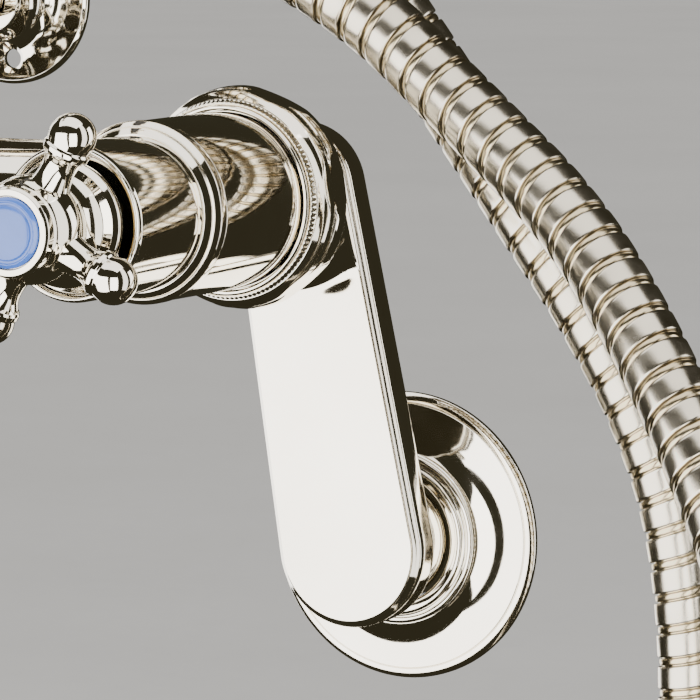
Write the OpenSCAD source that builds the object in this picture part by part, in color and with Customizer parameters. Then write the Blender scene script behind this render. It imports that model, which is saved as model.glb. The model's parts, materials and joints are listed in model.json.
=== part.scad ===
// Wall-mounted pre-rinse faucet: two offset swing arms, a bridge body with cross handles,
// a hose elbow on a short riser, an armoured hose and a squeeze-lever spray in its cradle.
// Millimetres, +Z up. The wall is the plane Y = 0 and the faucet stands out of it towards -Y.
// The origin is on the wall, midway between the two inlets.

/* [Wall inlets] */
// Distance between the two inlets, centre to centre
inlet_spacing = 203.2; // [190:0.2:220]
// Radius of a wall flange
flange_r = 32.5; // [31:0.5:35]
// Outer radius of an inlet's threaded nipple
nipple_r = 10.48; // [10:0.01:10.6]
// Length of the nipple behind the wall
nipple_len = 15; // [12:1:20]

/* [Swing arms] */
// Distance from the inlet's axis to the coupling's axis
arm_len = 80.8; // [78:0.2:84]
// Lean of each arm away from vertical, in degrees
arm_lean = 10.3; // [8:0.1:12]
// Radius of the arm's inlet end
arm_low_r = 17.6; // [17:0.1:18.5]
// Radius of the arm's coupling end
arm_top_r = 15; // [14.5:0.1:15.5]
// Distance of the arm's back from the wall
arm_back = 20; // [19:0.5:21]
// Distance of the arm's front edge from the wall
arm_front = 30.3; // [29.5:0.1:31]

/* [Couplings] */
// Width of the coupling nut across its flats
nut_flats = 47; // [46.5:0.5:48]
// Distance of the nut's back from the wall
nut_back = 47; // [46.5:0.5:47.5]
// Distance of the nut's front from the wall
nut_front = 61.4; // [61:0.1:62]
// Turn of the nut's corners at rest, in degrees
nut_turn = 39; // [0:1:59]

/* [Bridge body] */
// Outer radius of the valve barrels
barrel_r = 19.5; // [19:0.1:20]
// Distance of the barrels' front ends from the wall
barrel_front = 95.5; // [95:0.5:96]
// Distance of the bridge's axis from the wall
bridge_out = 76; // [75.5:0.5:77]
// Outer radius of the bridge tube
bridge_r = 13; // [12:0.5:13]

/* [Handles] */
// Outer radius of the sleeve in front of the bonnet ring
sleeve_r = 16.8; // [16:0.1:17]
// Distance of the sleeve's front rim from the wall
sleeve_front = 129; // [128:0.5:130]
// Reach of a cross handle's arm tips from its axis
cross_reach = 27; // [26:0.5:29]
// Turn of the cross at rest, in degrees
cross_turn = 63; // [50:1:75]

/* [Riser and cradle] */
// Height of the hose elbow's axis above the inlets
elbow_z = 142; // [140:1:144]
// Radius of the riser pipe
riser_r = 9.5; // [9:0.1:10]
// Height of the wall bracket above the inlets
bracket_z = 119; // [118:0.5:120]
// Radius of the cradle's post
post_r = 4.5; // [4:0.1:4.5]
// Radius of the wall bracket's rod
rod_r = 4; // [3.5:0.1:4.2]

/* [Hose and spray] */
// Outer diameter of the hose
hose_d = 16; // [15:0.5:16.5]
// Radius of the spray's grip
grip_r = 14.5; // [14:0.1:14.5]
// Radius of the spray's face
face_r = 17; // [16:0.5:18]

/* [Hidden] */
$fn = 96;
eps = 0.01;
steel = [0.80, 0.79, 0.76];
nickel = [0.84, 0.81, 0.75];
brass = [0.78, 0.62, 0.32];
rubber = [0.12, 0.12, 0.12];
white = [0.92, 0.91, 0.88];

inlet_x = inlet_spacing / 2;
port_x = inlet_x - arm_len * sin(arm_lean);
port_y = arm_len * cos(arm_lean);

boss_r = 14.2;
boss_flare = 16.6;
flare_end = 68;
flare_front = arm_front + boss_flare * sin(flare_end) + 0.1;
spigot_r = 16.4;
spigot_back = 46.4;
spigot_front = 51.2;
washer_front = 53;
tail_r = 14;
tail_flange_front = 55.4;
nut_lip_back = 55.7;
shoulder_out = 59.2;
nut_r = 24.6;
waterway_r = 9;
chamber_r = 14.2;
chamber_back = 74;
sleeve_back = 101;
hub_back = sleeve_front + 0.6;
hub_front = 155;
cross_out = 145;
screw_top = hub_front - 4.6;

// The spray's frame: its own Z runs from the hose end up the grip, and its own X is the lever's side.
hose_end = [55, -65, 182];
spray_tilt = 40;
spray_azimuth = -148;
spray_roll = 64;
grip_low = 26;
grip_top = 112;
clip_low = 96;
clip_high = 108;
chamber_up = 122;
pivot_up = 138;
pivot_x = 23;
head_up = 156;
head_tilt = 75;
head_len = 46;

// The hose's route, from the elbow's ferrule to the spray's ferrule, in millimetres.
hose_route = [
    [48, -60, 142], [62, -55, 142], [76, -52, 139.5], [90, -50, 134.5], [104, -49, 127.5],
    [120, -49, 117.5], [136, -52, 105.5], [152, -57, 94], [168, -63, 82.5], [184, -71, 68.5],
    [203, -82, 47], [222, -93, 19], [239, -103, -14], [252, -111, -52], [261, -117, -95],
    [266, -121, -152], [267, -122, -207], [261, -115.5, -241], [244, -97.5, -265.5], [221, -72.5, -274.5],
    [198, -48, -265.5], [181, -29.5, -241], [175, -23, -207], [175, -22, -152], [178, -22, -97],
    [182, -23, -55], [184, -25, -20], [181, -27, 11], [173, -29, 35], [161, -30, 56],
    [147, -30, 75], [129, -29, 98], [111, -29, 121.5], [97, -33, 140], [83, -43, 153],
    [67, -56, 165], [55, -65, 182]
];
rings_per_leg = 2;
hose_sides = 12;

// ---- helpers -------------------------------------------------------------------------------

// Points along an arc about (x, y), from angle a0 to angle a1.
function arc(x, y, r, a0, a1, steps = 6) =
    [for (i = [0:steps]) let(a = a0 + (a1 - a0) * i / steps) [x + r * cos(a), y + r * sin(a)]];

// Turns the drawing's X, Y and height into the wall's X, Z and distance out of it.
module out_of_wall() rotate([90, 0, 0]) children();

// A disc about the current axis, from height low to height high.
module disc(r, low, high) translate([0, 0, low]) cylinder(r = r, h = high - low);

// A ring about the current axis, with a through bore.
module ring(r, bore, low, high) difference() {
    disc(r, low, high);
    disc(bore, low - 1, high + 1);
}

// Places a drawing at the right inlet, or at its mirror image on the left.
module at_inlet(side) out_of_wall() mirror([side < 0 ? 1 : 0, 0, 0])
    translate([inlet_x, 0, 0]) children();

// Places a drawing at the right valve's axis, or at its mirror image on the left.
module at_port(side) out_of_wall() mirror([side < 0 ? 1 : 0, 0, 0])
    translate([port_x, port_y, 0]) children();

// Places a drawing on the riser's axis, standing up.
module at_riser() translate([0, -bridge_out, 0]) children();

// Places a drawing on the elbow's outlet, whose axis is the hose's first direction.
outlet_turn = atan2(hose_route[0][1] + bridge_out, hose_route[0][0]);
outlet_len = norm([hose_route[0][0], hose_route[0][1] + bridge_out]);
module at_outlet() translate([0, -bridge_out, elbow_z]) rotate([0, 0, outlet_turn])
    rotate([0, 90, 0]) children();

// Places a drawing in the spray's own frame.
module at_spray() translate(hose_end) rotate([0, spray_tilt, spray_azimuth])
    rotate([0, 0, spray_roll]) children();

// Lays a drawing's Z along the spray frame's X, at a height up the grip.
module across(up) translate([0, 0, up]) rotate([0, 90, 0]) children();

// Lays a drawing's Z along the spray head.
module at_head() translate([0, 0, head_up]) rotate([0, head_tilt, 0]) children();

// ---- wall inlets and arms ------------------------------------------------------------------

module wall_flange(side) color(nickel) at_inlet(side) rotate_extrude() polygon(concat(
    [[14.4, 6.2], [16.2, 5.8], [20, 3.9], [26, 1.6], [30, 0.6], [30.6, 0]],
    [[flange_r, 0], [flange_r, 1.1]],
    arc(flange_r - 0.9, 1.1, 0.9, 0, 90, 4),
    [[flange_r - 2.1, 2], [flange_r - 2.3, 2.3], [27, 3], [24, 3.8], [21.6, 4.7], [20, 5.5]],
    arc(18.3, 5.7, 1, 10, 90, 4),
    [[17.6, 6.7], [17.4, 7.1]],
    arc(16.3, 7.3, 1, 20, 90, 4),
    arc(15.4, 7.3, 1, 90, 180, 4)
));

// One end of the arm: a crowned disc with a rounded back edge and a bevelled front edge.
module arm_end(r) rotate_extrude($fn = 48) polygon(concat(
    [[0, arm_back]],
    arc(r - 2.6, arm_back + 2.6, 2.6, -90, 0, 4),
    [[r, arm_front - 1.5], [r - 0.5, arm_front - 0.5], [r - 1.5, arm_front]],
    [[r - 3, arm_front + 0.3], [r - 9, arm_front + 0.8], [0, arm_front + 1]]
));

// Outline of the arm seen from the front, inset from its edge.
module arm_outline(inset) {
    lean = asin((arm_low_r - arm_top_r) / arm_len);
    low = arm_low_r - inset;
    top = arm_top_r - inset;
    circle(r = low);
    translate([0, arm_len]) circle(r = top);
    polygon([
        low * [cos(lean), sin(lean)], [0, arm_len] + top * [cos(lean), sin(lean)],
        [0, arm_len] + top * [-cos(lean), sin(lean)], low * [-cos(lean), sin(lean)]
    ]);
}

module swing_arm(side) color(nickel) at_inlet(side) rotate([0, 0, arm_lean]) difference() {
    union() {
        hull() {
            arm_end(arm_low_r);
            translate([0, arm_len, 0]) arm_end(arm_top_r);
        }
        disc(nipple_r, -nipple_len, 4);
        disc(14, 3, arm_back + 1);
        translate([0, arm_len, 0]) {
            disc(boss_r, arm_front, spigot_back + eps);
            disc(spigot_r, spigot_back, spigot_front);
        }
        intersection() {
            translate([0, 0, arm_front - 2]) linear_extrude(boss_flare + 2) arm_outline(1.8);
            translate([0, arm_len, 0]) rotate_extrude()
                polygon(concat([[0, arm_front - 3], [30, arm_front - 3]],
                    arc(boss_r + boss_flare - 0.1, flare_front, boss_flare, 180 + flare_end, 180, 8),
                    [[0, flare_front]]));
        }
    }
    disc(7, -nipple_len - 1, 26);
    translate([0, arm_len, 0]) disc(7, 25, spigot_front + 1);
    translate([0, 0, 25.5]) rotate([-90, 0, 0]) cylinder(r = 4.3, h = arm_len);
}

module check_valve(side) color(white) at_port(side) difference() {
    union() {
        disc(6.9, 32, 43.5);
        disc(4.5, 29, 33);
    }
    disc(3.4, 35, 45);
}

// ---- couplings -----------------------------------------------------------------------------

module coupling_nut(side) color(nickel) at_port(side) rotate([0, 0, nut_turn]) difference() {
    intersection() {
        translate([0, 0, nut_back]) cylinder(r = nut_flats / 2 / cos(30), h = 30, $fn = 6);
        rotate_extrude() polygon(concat(
            [[0, nut_back], [22.2, nut_back], [23.6, nut_back + 0.8], [24.3, nut_back + 2]],
            [[nut_r, nut_back + 4.2], [24.3, nut_front - 7.9], [24.1, nut_front - 7.5]],
            [[24.1, nut_front - 5.2], [22.2, nut_front - 2.7], [21.3, nut_front - 1]],
            [[20.9, nut_front - 1], [20.8, nut_front], [0, nut_front]]
        ));
    }
    disc(spigot_r + 0.1, nut_back - 1, nut_lip_back);
    disc(tail_r + 0.3, nut_lip_back - 1, shoulder_out - 0.2);
    disc(barrel_r + 0.3, shoulder_out - 0.3, nut_front + 1);
}

module coupling_washer(side) color(rubber) at_port(side) ring(15.8, 9.2, spigot_front, washer_front);

// ---- bridge body and valves ----------------------------------------------------------------

module barrel_outside() rotate_extrude() polygon([
    [0, washer_front], [16.2, washer_front], [16.2, tail_flange_front], [tail_r, tail_flange_front],
    [tail_r, shoulder_out],
    [barrel_r - 0.4, shoulder_out], [barrel_r, shoulder_out + 0.4],
    [barrel_r, barrel_front], [0, barrel_front]
]);

module mixing_body() color(nickel) difference() {
    union() {
        for (side = [-1, 1]) at_port(side) barrel_outside();
        translate([-port_x, -bridge_out, port_y]) rotate([0, 90, 0]) cylinder(r = bridge_r, h = 2 * port_x);
        at_riser() translate([0, 0, port_y]) {
            sphere(r = 19);
            rotate_extrude() polygon([
                [0, 0], [13.5, 0], [13.5, 17.5], [16.5, 18.5], [16.5, 21.5], [15.5, 22.3], [0, 22.3]
            ]);
            rotate_extrude() polygon([
                [0, 0], [9, 0], [9, -20], [11, -21], [11, -24.5], [8, -26.5], [0, -27.4]
            ]);
        }
    }
    for (side = [-1, 1]) at_port(side) {
        disc(waterway_r, washer_front - 1, chamber_back);
        disc(chamber_r, chamber_back - eps, barrel_front + 1);
    }
    translate([-port_x + 10, -bridge_out, port_y]) rotate([0, 90, 0])
        cylinder(r = 6.5, h = 2 * (port_x - 10));
    at_riser() translate([0, 0, port_y]) {
        disc(6.5, 0, 30);
        disc(riser_r, 14, 30);
    }
}

module bonnet_ring(side) color(nickel) at_port(side) rotate_extrude() polygon([
    [10.4, barrel_front], [barrel_r, barrel_front], [barrel_r + 0.2, barrel_front + 0.3],
    [barrel_r + 0.2, 98.1], [19.3, 98.6], [18.9, 98.6], [18.9, 98.1], [18.5, 98.1],
    [18.5, 99.6], [18.1, 100], [17.6, 100], [17.5, 99.5], [17.1, 99.5],
    [17.1, sleeve_back], [10.4, sleeve_back]
]);

module cartridge(side) color(brass) at_port(side) difference() {
    union() {
        disc(13.9, chamber_back + 2.2, barrel_front);
        disc(10.3, barrel_front - 1, 112);
    }
    disc(11, chamber_back, 84);
    disc(5.2, 80, 113);
}

module ceramic_seat(side) color(white) at_port(side) difference() {
    disc(10.9, chamber_back + 0.2, chamber_back + 5);
    for (turn = [0, 180]) rotate([0, 0, turn]) translate([5.5, 0, 0])
        disc(2.6, chamber_back - 1, chamber_back + 6);
}

module ceramic_disc(side) color(white) at_port(side) difference() {
    disc(10.8, chamber_back + 5, chamber_back + 8.5);
    for (turn = [90, 270]) rotate([0, 0, turn]) translate([5.5, 0, 0])
        disc(2.6, chamber_back + 4, chamber_back + 10);
}

module stem(side) color(brass) at_port(side) difference() {
    union() {
        disc(10.7, chamber_back + 8.5, chamber_back + 9.9);
        disc(5.15, chamber_back + 8.5, hub_back + 1.4);
        disc(4, hub_back, screw_top - 0.4);
    }
    disc(2, screw_top - 13, screw_top + 1);
}

module handle_sleeve(side) color(nickel) at_port(side) rotate_extrude() polygon(concat(
    [[14.9, sleeve_back], [sleeve_r, sleeve_back]],
    arc(sleeve_r - 1, sleeve_front - 1, 1, 0, 90, 4),
    arc(15.7, sleeve_front - 0.8, 0.8, 90, 180, 3),
    [[14.9, sleeve_front - 1.6], [5.5, sleeve_front - 1.6]],
    [[5.5, sleeve_front - 3.2], [14.9, sleeve_front - 3.2]]
));

// One arm of the cross: a waisted spoke that ends in a rounded tip.
module cross_arm() rotate([0, 90, 0]) rotate_extrude($fn = 40) polygon(concat(
    [[0, 0], [5.5, 0], [5.5, 6], [4.9, 9], [4, 11.6], [3.7, 14], [4.4, cross_reach - 9.7]],
    [[5.2, cross_reach - 8.7], [5.2, cross_reach - 7.7], [4.9, cross_reach - 7]],
    arc(0, cross_reach - 5.2, 5.2, -10, 90, 7)
));

module cross_handle(side) color(nickel) at_port(side) rotate([0, 0, cross_turn]) difference() {
    union() {
        rotate_extrude() polygon(concat(
            [[0, hub_back], [13.5, hub_back]],
            arc(12.9, hub_back + 1.8, 0.8, 0, 90, 3),
            [[10.4, hub_back + 3.8], [8.9, hub_back + 6.4]],
            arc(2.7, cross_out, 9, -38, 48, 8),
            [[9.4, hub_front - 2.4], [9.6, hub_front - 0.6], [9, hub_front], [0, hub_front]]
        ));
        for (turn = [0:90:270]) translate([0, 0, cross_out]) rotate([0, 0, turn]) cross_arm();
    }
    disc(5.25, hub_back - 1, hub_back + 1.5);
    disc(4.05, hub_back + 0.4, screw_top - 0.2);
    disc(7.6, screw_top - 0.4, hub_front + 1);
}

module handle_screw(side) color(steel) at_port(side) difference() {
    union() {
        disc(1.95, screw_top - 11.4, screw_top);
        disc(3.6, screw_top - 0.1, screw_top + 2.2);
    }
    translate([0, 0, screw_top + 1]) cylinder(r = 1.7, h = 3, $fn = 6);
}

module index_button(side) color(side < 0 ? [0.75, 0.12, 0.10] : [0.12, 0.25, 0.65]) at_port(side)
    rotate_extrude() polygon(concat(
        [[0, hub_front - 2], [7.5, hub_front - 2], [7.5, hub_front + 0.2]],
        [for (i = [1:6]) [7.5 - 7.5 * i / 6, hub_front + 0.2 + 1.2 * sin(90 * i / 6)]]
    ));

// ---- riser, elbow, bracket and cradle ------------------------------------------------------

module riser_nut() color(nickel) at_riser() difference() {
    intersection() {
        translate([0, 0, port_y + 22.5]) cylinder(r = 17.3, h = 11, $fn = 6);
        rotate_extrude() polygon([
            [0, 102], [15.6, 102], [17.4, 103.4], [17.4, 110.6], [14.6, 113], [0, 113]
        ]);
    }
    disc(riser_r + 0.1, 100, 115);
}

module riser_pipe() color(nickel) at_riser() ring(riser_r, 7, port_y + 14, elbow_z - 12);

module hose_elbow() color(nickel) difference() {
    union() {
        at_riser() {
            translate([0, 0, elbow_z]) sphere(r = 14);
            rotate_extrude() polygon([
                [0, elbow_z - 17], [12, elbow_z - 17], [12.6, elbow_z - 16.4], [12.6, elbow_z - 9],
                [11.6, elbow_z - 8], [11.6, elbow_z], [0, elbow_z]
            ]);
            rotate_extrude() polygon([
                [0, elbow_z], [9, elbow_z], [8, elbow_z + 14], [8, elbow_z + 18], [7.2, elbow_z + 19],
                [0, elbow_z + 19]
            ]);
        }
        at_outlet() {
            disc(11.4, 0, 16);
            disc(10.3, 15, outlet_len - 16);
        }
    }
    at_riser() {
        disc(riser_r, elbow_z - 18, elbow_z - 12);
        disc(6.2, elbow_z - 14, elbow_z + 1);
        disc(post_r, elbow_z + 9, elbow_z + 20);
    }
    at_outlet() disc(6.5, -6.8, outlet_len);
}

module cradle_post() color(nickel) at_riser() {
    disc(post_r, elbow_z + 9, 244);
    translate([0, 0, 244]) sphere(r = post_r);
}

module cradle_clip() color(nickel) difference() {
    union() {
        at_riser() difference() {
            disc(7.4, 222, 236);
            disc(post_r, 221, 237);
        }
        at_spray() difference() {
            disc(grip_r + 3.4, clip_low, clip_high);
            disc(grip_r + 0.3, clip_low - 1, clip_high + 1);
        }
        hull() {
            translate([-3, -bridge_out + 5.5, 228]) sphere(r = 4, $fn = 24);
            at_spray() translate([-grip_r - 2.5, 0, clip_low + 6]) sphere(r = 4, $fn = 24);
        }
    }
    at_spray() disc(grip_r + 0.3, clip_low - 40, clip_high + 20);
    at_spray() translate([0, -grip_r + 2.5, clip_low - 5]) cube([40, 2 * grip_r - 5, 30]);
    at_riser() disc(post_r, 200, 250);
}

module bracket_clamp() color(nickel) difference() {
    union() {
        at_riser() disc(13.2, bracket_z - 6, bracket_z + 6);
        translate([0, -bridge_out, bracket_z]) rotate([-90, 0, 0]) disc(5.8, 9, 22);
        translate([0, -bridge_out, bracket_z]) rotate([0, 90, 0]) disc(4.4, 9, 15.5);
    }
    at_riser() disc(riser_r, 100, 140);
    translate([0, -bridge_out, bracket_z]) rotate([-90, 0, 0]) disc(rod_r, 14, 24);
    translate([0, -bridge_out, bracket_z]) rotate([0, 90, 0]) disc(2.5, 8, 20);
}

module bracket_rod() color(nickel) translate([0, 0, bracket_z]) out_of_wall() disc(rod_r, 3, bridge_out - 14);

module bracket_flange() color(nickel) translate([0, 0, bracket_z]) out_of_wall() difference() {
    rotate_extrude() polygon(concat(
        [[0, 0], [20, 0], [20, 1.4]],
        arc(19.2, 1.4, 0.8, 0, 90, 3),
        [[16, 2.8], [11, 4.4], [8.4, 7.5], [8.2, 12], [7.6, 12.6], [0, 12.6]]
    ));
    disc(rod_r, 3, 14);
    for (turn = [30, 150, 270]) rotate([0, 0, turn]) translate([14.2, 0, 0]) disc(2.2, -1, 6);
}

module bracket_screw() color(steel) translate([0, -bridge_out, bracket_z]) rotate([0, 90, 0]) difference() {
    union() {
        disc(2.45, riser_r, 15);
        disc(5.6, 15.5, 19);
        disc(2.45, 14, 16);
    }
    translate([0, 0, 17.2]) cylinder(r = 2, h = 3, $fn = 6);
}

// ---- hose ----------------------------------------------------------------------------------

hose_legs = len(hose_route) - 1;

// The route's point before or after the list's ends is that end itself.
function route_at(i) = hose_route[max(0, min(hose_legs, i))];

// A smooth curve through the route's points, at leg i and share t along it.
function route_point(i, t) =
    let(a = route_at(i - 1), b = route_at(i), c = route_at(i + 1), d = route_at(i + 2))
    0.5 * (2 * b + (c - a) * t + (2 * a - 5 * b + 4 * c - d) * t * t + (3 * b - a - 3 * c + d) * t * t * t);

hose_line = concat(
    [for (i = [0:hose_legs - 1], k = [0:rings_per_leg - 1]) route_point(i, k / rings_per_leg)],
    [hose_route[hose_legs]]
);
hose_last = len(hose_line) - 1;

function unit(v) = v / norm(v);
function line_direction(i) = unit(hose_line[min(hose_last, i + 1)] - hose_line[max(0, i - 1)]);

// The side vectors are carried from ring to ring without twist.
function carried(side, i) = unit(side - (side * line_direction(i)) * line_direction(i));
hose_side = [
    for (i = 0, s = carried([0, 0, 1], 0); i <= hose_last; i = i + 1, s = carried(s, min(i, hose_last))) s
];

module hose() color(steel) polyhedron(
    points = [
        for (i = [0:hose_last], k = [0:hose_sides - 1])
            let(a = 360 * k / hose_sides, other = cross(line_direction(i), hose_side[i]))
                hose_line[i] + hose_d / 2 * (cos(a) * hose_side[i] + sin(a) * other)
    ],
    faces = concat(
        [[for (k = [0:hose_sides - 1]) k]],
        [for (i = [0:hose_last - 1], k = [0:hose_sides - 1]) let(n = (k + 1) % hose_sides) [
            i * hose_sides + k, (i + 1) * hose_sides + k, (i + 1) * hose_sides + n, i * hose_sides + n
        ]],
        [[for (k = [hose_sides - 1:-1:0]) hose_last * hose_sides + k]]
    )
);

// A crimped sleeve over the hose's end, drawn with the hose leaving towards -Z from height 0.
module ferrule_shape() rotate_extrude() polygon([
    [0, 0], [9.2, 0], [9.2, -2], [8.9, -2.4], [8.9, -11], [9.3, -11.5], [9.3, -13],
    [hose_d / 2 + 0.1, -14], [hose_d / 2 + 0.1, -eps], [0, -eps]
]);

// The hose nut and the hose's nose inside it, drawn with the hose's end at height 0.
module hose_nut_shape() difference() {
    intersection() {
        translate([0, 0, 0.2]) cylinder(r = 13.6, h = 15.8, $fn = 8);
        rotate_extrude() polygon([
            [0, 0.2], [10.6, 0.2], [13, 5], [13.4, 6], [13.4, 15.2], [12.6, 16], [0, 16]
        ]);
    }
    disc(10.4, 2.6, 17);
    disc(6.5, -1, 17);
}

module elbow_ferrule() color(nickel) at_outlet() translate([0, 0, outlet_len])
    mirror([0, 0, 1]) ferrule_shape();
module elbow_hose_nut() color(nickel) at_outlet() translate([0, 0, outlet_len])
    mirror([0, 0, 1]) hose_nut_shape();
module spray_ferrule() color(nickel) at_spray() ferrule_shape();
module spray_hose_nut() color(nickel) at_spray() hose_nut_shape();

module hose_washers() color(rubber) {
    at_outlet() ring(10.2, 6.5, outlet_len - 16, outlet_len - 2.6);
    at_spray() ring(10.2, 6.5, 2.6, 16);
}

// ---- spray ---------------------------------------------------------------------------------

module spray_body() color(nickel) at_spray() difference() {
    union() {
        rotate_extrude() polygon([
            [0, 16], [12.2, 16], [12.2, 22], [11, grip_low], [11, grip_top], [12.4, grip_top + 1.5],
            [12.4, grip_top + 4], [12, chamber_up], [12, head_up], [0, head_up]
        ]);
        translate([0, 0, head_up]) sphere(r = 15);
        across(chamber_up) disc(9, 0, 15);
        at_head() rotate_extrude() polygon([
            [0, 0], [11.5, 0], [11.5, 16], [12.4, 22], [15, 30], [face_r, 36],
            [face_r, head_len - 6], [0, head_len - 6]
        ]);
        for (side = [-1, 1]) translate([0, side * 8.2 - 1.7, 0]) {
            translate([pivot_x, 0, pivot_up]) rotate([-90, 0, 0]) cylinder(r = 3.6, h = 3.4);
            translate([0, 0, pivot_up - 3.6]) cube([pivot_x, 3.4, 7.2]);
        }
    }
    disc(6, 15, head_up);
    across(chamber_up) disc(5, -9, 12);
    across(chamber_up) disc(3.1, 11, 16);
    at_head() disc(7, 0, head_len);
    at_head() disc(face_r - 2.5, head_len - 12, head_len);
    translate([pivot_x, 20, pivot_up]) rotate([90, 0, 0]) cylinder(r = 1.6, h = 40);
}

module spray_grip() color(rubber) at_spray() difference() {
    rotate_extrude() polygon(concat(
        [[11, grip_low], [grip_r - 1.5, grip_low]],
        [for (i = [0:11]) let(up = grip_low + 3 + i * 5.2)
            each [[grip_r, up], [grip_r, up + 3.6], [grip_r - 0.7, up + 4.4]]],
        [[grip_r, grip_low + 66], [grip_r, grip_top - 2], [grip_r - 1.5, grip_top], [11, grip_top]]
    ));
}

module squeeze_lever() color(nickel) at_spray() difference() {
    union() {
        translate([pivot_x, 0, pivot_up]) rotate([90, 0, 0]) translate([0, 0, -6]) cylinder(r = 3.4, h = 12);
        rotate([90, 0, 0]) translate([0, 0, -6]) linear_extrude(12) polygon([
            [25.2, pivot_up + 2], [26.4, pivot_up], [26.4, 118], [30.2, 96], [33, 66], [34.5, 44], [38, 36],
            [36, 35], [32.6, 43], [31, 66], [28.2, 96], [23.9, 117], [23.9, pivot_up - 3], [22, pivot_up - 2]
        ]);
    }
    translate([pivot_x, 20, pivot_up]) rotate([90, 0, 0]) cylinder(r = 1.65, h = 40);
}

module lever_pin() color(steel) at_spray() translate([pivot_x, 0, pivot_up]) rotate([90, 0, 0]) {
    disc(1.6, -11, 11);
    for (side = [-1, 1]) translate([0, 0, side * 10.75]) disc(2.6, -0.7, 0.7);
}

module plunger() color(brass) at_spray() across(chamber_up) {
    disc(2.95, 7, 22.6);
    translate([0, 0, 22.6]) sphere(r = 1.1);
    disc(4.7, 7, 9);
}

module plunger_nut() color(nickel) at_spray() across(chamber_up) difference() {
    union() {
        translate([0, 0, 15]) cylinder(r = 7.4, h = 4, $fn = 6);
        disc(5.2, 18, 20.4);
    }
    disc(3.05, 14, 22);
}

module plunger_spring() color(steel) at_spray() across(chamber_up) ring(4.2, 3.2, -8.9, 6.9);

module spray_face() color(white) at_spray() at_head() difference() {
    disc(face_r - 2.6, head_len - 6, head_len - 2);
    for (row = [[8, 6.2], [14, 10.4]]) for (i = [1:row[0]]) rotate([0, 0, 360 * i / row[0]])
        translate([row[1], 0, 0]) disc(0.8, head_len - 8, head_len);
    disc(2.05, head_len - 8, head_len);
}

module spray_bumper() color(rubber) at_spray() at_head() rotate_extrude() polygon(concat(
    [[face_r, head_len - 14], [face_r + 1.2, head_len - 14]],
    arc(face_r + 0.4, head_len - 2.2, 2.2, 0, 90, 5),
    [[face_r - 2.4, head_len], [face_r - 2.4, head_len - 5.9], [face_r, head_len - 5.9]]
));

module face_screw() color(steel) at_spray() at_head() difference() {
    union() {
        disc(2, head_len - 10, head_len - 1.9);
        disc(3.8, head_len - 2, head_len - 0.2);
    }
    translate([-5, -0.5, head_len - 1]) cube([10, 1, 3]);
}

// ---- the assembly --------------------------------------------------------------------------

wall_flange(1);  // wall_flange_right
wall_flange(-1);  // wall_flange_left
swing_arm(1);  // swing_arm_right
swing_arm(-1);  // swing_arm_left
check_valve(1);  // check_valve_right
check_valve(-1);  // check_valve_left
coupling_nut(1);  // coupling_nut_right
coupling_nut(-1);  // coupling_nut_left
coupling_washer(1);  // coupling_washer_right
coupling_washer(-1);  // coupling_washer_left
mixing_body();
bonnet_ring(1);  // bonnet_ring_right
bonnet_ring(-1);  // bonnet_ring_left
cartridge(1);  // cartridge_right
cartridge(-1);  // cartridge_left
ceramic_seat(1);  // ceramic_seat_right
ceramic_seat(-1);  // ceramic_seat_left
ceramic_disc(1);  // ceramic_disc_right
ceramic_disc(-1);  // ceramic_disc_left
stem(1);  // stem_right
stem(-1);  // stem_left
handle_sleeve(1);  // handle_sleeve_right
handle_sleeve(-1);  // handle_sleeve_left
cross_handle(1);  // cross_handle_right
cross_handle(-1);  // cross_handle_left
handle_screw(1);  // handle_screw_right
handle_screw(-1);  // handle_screw_left
index_button(1);  // index_button_right
index_button(-1);  // index_button_left
riser_nut();
riser_pipe();
hose_elbow();
cradle_post();
cradle_clip();
bracket_clamp();
bracket_rod();
bracket_flange();
bracket_screw();
hose();
elbow_ferrule();
spray_ferrule();
elbow_hose_nut();
spray_hose_nut();
hose_washers();
spray_body();
spray_grip();
squeeze_lever();
lever_pin();
plunger();
plunger_nut();
plunger_spring();
spray_face();
spray_bumper();
face_screw();
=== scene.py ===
"""A wall-mounted pre-rinse faucet in polished nickel: the looks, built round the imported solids."""

import json
import math

import bmesh
import bpy
import numpy as np
from mathutils import Matrix, Vector


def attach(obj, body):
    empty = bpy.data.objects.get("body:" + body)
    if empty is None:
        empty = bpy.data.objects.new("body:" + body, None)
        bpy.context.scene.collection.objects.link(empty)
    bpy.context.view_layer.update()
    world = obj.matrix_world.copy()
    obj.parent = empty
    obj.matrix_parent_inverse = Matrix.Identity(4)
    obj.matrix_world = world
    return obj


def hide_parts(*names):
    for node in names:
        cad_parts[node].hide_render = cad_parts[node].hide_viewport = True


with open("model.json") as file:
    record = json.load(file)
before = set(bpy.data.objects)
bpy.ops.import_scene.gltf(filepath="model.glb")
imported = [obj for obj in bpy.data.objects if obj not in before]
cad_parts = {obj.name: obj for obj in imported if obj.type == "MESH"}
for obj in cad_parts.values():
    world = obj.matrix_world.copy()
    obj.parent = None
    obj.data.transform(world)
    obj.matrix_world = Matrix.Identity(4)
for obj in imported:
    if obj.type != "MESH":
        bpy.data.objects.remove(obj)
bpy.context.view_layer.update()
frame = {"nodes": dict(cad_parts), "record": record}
MM = 0.001

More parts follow.
